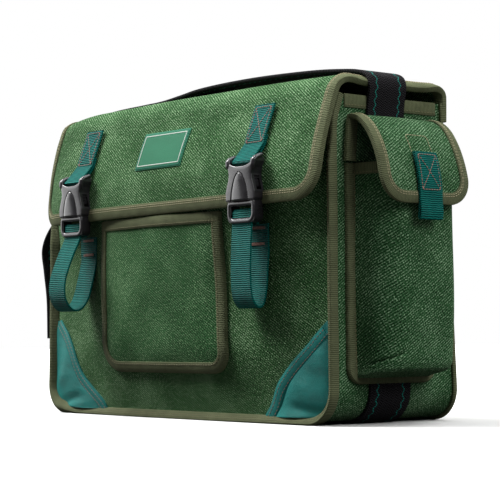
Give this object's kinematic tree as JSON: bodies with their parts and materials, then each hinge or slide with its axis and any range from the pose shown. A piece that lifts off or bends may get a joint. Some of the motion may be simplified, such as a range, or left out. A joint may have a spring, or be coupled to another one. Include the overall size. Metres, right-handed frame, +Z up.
{
  "type": "tool bag",
  "caption": "Canvas tool bag with a buckled front flap, front and side pockets, bound seams, corner patches and a wrap-round carrying strap.",
  "frame": {"origin": "Under the middle of the bag, on the face that it stands on", "axes": "+X towards the side pocket, -Y towards the front, +Z up"},
  "size_m": [0.5123, 0.1783, 0.291],
  "materials": {
    "canvas": "matt",
    "canvas_dark": "matt",
    "tape": "matt",
    "patch_cloth": "satin",
    "webbing": "satin",
    "strap_webbing": "matt",
    "label": "matt",
    "plastic": "satin",
    "fastener": "matt",
    "board": "matt"
  },
  "bodies": {
    "bag": {"front_panel": "canvas", "back_panel": "canvas", "gusset_left": "canvas", "gusset_right": "canvas", "bottom_panel": "canvas", "bottom_board": "board", "front_binding": "tape", "rear_binding": "tape", "front_hem": "tape", "gusset_hem_left": "tape", "gusset_hem_right": "tape", "corner_patch_left": "patch_cloth", "corner_patch_right": "patch_cloth", "front_pocket": "canvas_dark", "front_pocket_binding": "tape", "front_pocket_hem": "tape", "side_pocket": "canvas", "side_pocket_binding": "tape", "hook_pad": "fastener", "pocket_flap_seam": "canvas", "anchor_left": "webbing", "anchor_right": "webbing", "loop_left": "webbing", "loop_right": "webbing", "strap_base": "strap_webbing", "strap_side_left": "strap_webbing", "strap_side_right": "strap_webbing", "strap_slider": "plastic"},
    "main_flap": {"main_flap": "canvas", "flap_binding": "tape", "label_patch": "label", "flap_strap_left": "webbing", "flap_strap_right": "webbing", "socket_left": "plastic", "socket_right": "plastic"},
    "side_flap": {"pocket_flap": "canvas", "pocket_flap_binding": "tape", "loop_pad": "fastener", "pull_tab": "webbing"},
    "plug_left": {"plug_left": "plastic"},
    "plug_right": {"plug_right": "plastic"},
    "prong_left_outer": {"prong_left_outer": "plastic"},
    "prong_left_inner": {"prong_left_inner": "plastic"},
    "prong_right_outer": {"prong_right_outer": "plastic"},
    "prong_right_inner": {"prong_right_inner": "plastic"},
    "carry_strap": {"carry_strap": "strap_webbing"},
    "strap_tail": {"strap_tail": "strap_webbing"}
  },
  "joints": [
    {"name": "flap_open", "type": "hinge", "parent": "bag", "child": "main_flap", "pos_m": [0, 0.05681, 0.257], "axis": [-1, 0, 0], "range_deg": [0, 110]},
    {"name": "strap_swing", "type": "hinge", "parent": "bag", "child": "carry_strap", "pos_m": [0, 0.05681, 0.257], "axis": [-1, 0, 0], "range_deg": [0, 110]},
    {"name": "side_flap_open", "type": "hinge", "parent": "bag", "child": "side_flap", "pos_m": [0.2015, -0.006, 0.2428], "axis": [0, -1, 0], "range_deg": [0, 95]},
    {"name": "tail_swing", "type": "hinge", "parent": "bag", "child": "strap_tail", "pos_m": [-0.2052, -0.008, 0.226], "axis": [0, 1, 0], "range_deg": [-8, 60]},
    {"name": "unclip_left", "type": "slide", "parent": "bag", "child": "plug_left", "axis": [0, 0, -1], "range_m": [0, 0.038], "deforming": ["loop_left"]},
    {"name": "squeeze_left_outer", "type": "hinge", "parent": "plug_left", "child": "prong_left_outer", "pos_m": [-0.13068, -0.09225, 0.1807], "axis": [0, 1, 0], "range_deg": [0, 9], "stiffness_Nm_per_rad": 0.02},
    {"name": "squeeze_left_inner", "type": "hinge", "parent": "plug_left", "child": "prong_left_inner", "pos_m": [-0.11132, -0.09225, 0.1807], "axis": [0, -1, 0], "range_deg": [0, 9], "stiffness_Nm_per_rad": 0.02},
    {"name": "unclip_right", "type": "slide", "parent": "bag", "child": "plug_right", "axis": [0, 0, -1], "range_m": [0, 0.038], "deforming": ["loop_right"]},
    {"name": "squeeze_right_outer", "type": "hinge", "parent": "plug_right", "child": "prong_right_outer", "pos_m": [0.13068, -0.09225, 0.1807], "axis": [0, -1, 0], "range_deg": [0, 9], "stiffness_Nm_per_rad": 0.02},
    {"name": "squeeze_right_inner", "type": "hinge", "parent": "plug_right", "child": "prong_right_inner", "pos_m": [0.11132, -0.09225, 0.1807], "axis": [0, 1, 0], "range_deg": [0, 9], "stiffness_Nm_per_rad": 0.02}
  ],
  "couplings": [
    {"joint": "strap_swing", "follows": "flap_open", "ratio": 1},
    {"joint": "squeeze_left_inner", "follows": "squeeze_left_outer", "ratio": 1},
    {"joint": "squeeze_right_inner", "follows": "squeeze_right_outer", "ratio": 1}
  ]
}
